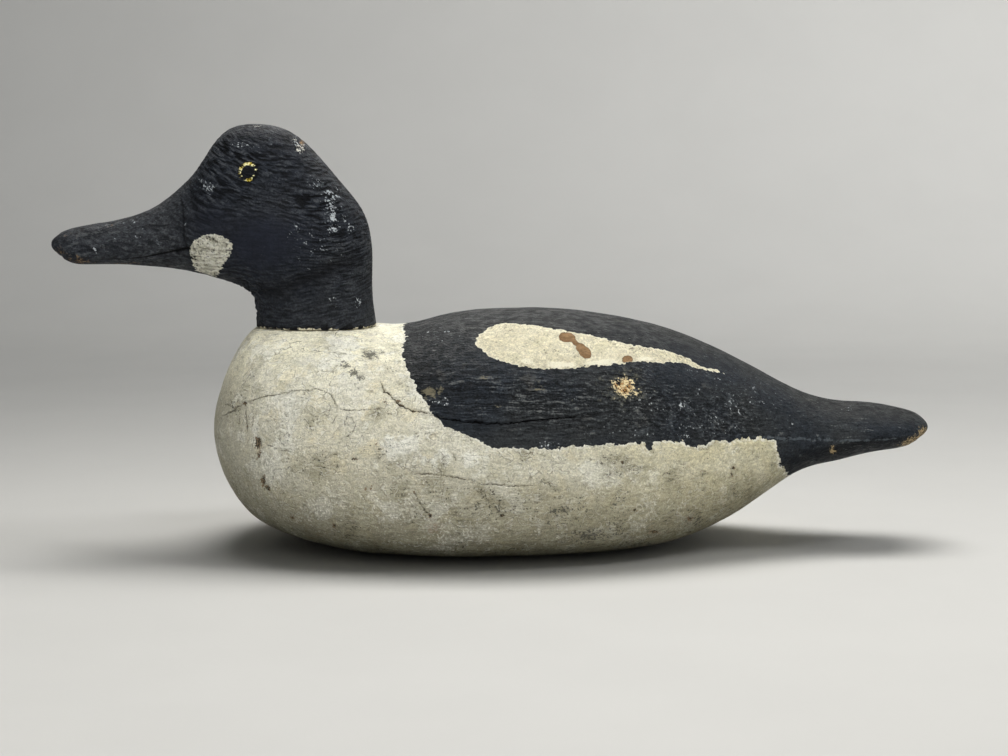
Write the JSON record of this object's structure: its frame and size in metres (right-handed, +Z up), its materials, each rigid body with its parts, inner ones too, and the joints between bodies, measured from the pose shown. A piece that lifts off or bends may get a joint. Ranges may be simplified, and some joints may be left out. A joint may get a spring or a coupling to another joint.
{
  "type": "goldeneye duck decoy",
  "caption": "Carved and painted wooden goldeneye duck decoy: solid body with a flat underside and a short paddle tail, and a separate head and neck on a flat seat.",
  "frame": {"origin": "on the flat underside, at the middle of the overall box", "axes": "-X is the way the bird looks, +Y is the bird's right-hand side, +Z is up"},
  "size_m": [0.3556, 0.144, 0.1688],
  "materials": {
    "body_paint": "worn matt cream and black paint on wood, grimy, cracked along the grain",
    "head_paint": "worn matt black paint on raised wood grain, with a cream cheek spot"
  },
  "bodies": {
    "root": {"body": "body_paint", "head": "head_paint"}
  },
  "joints": []
}
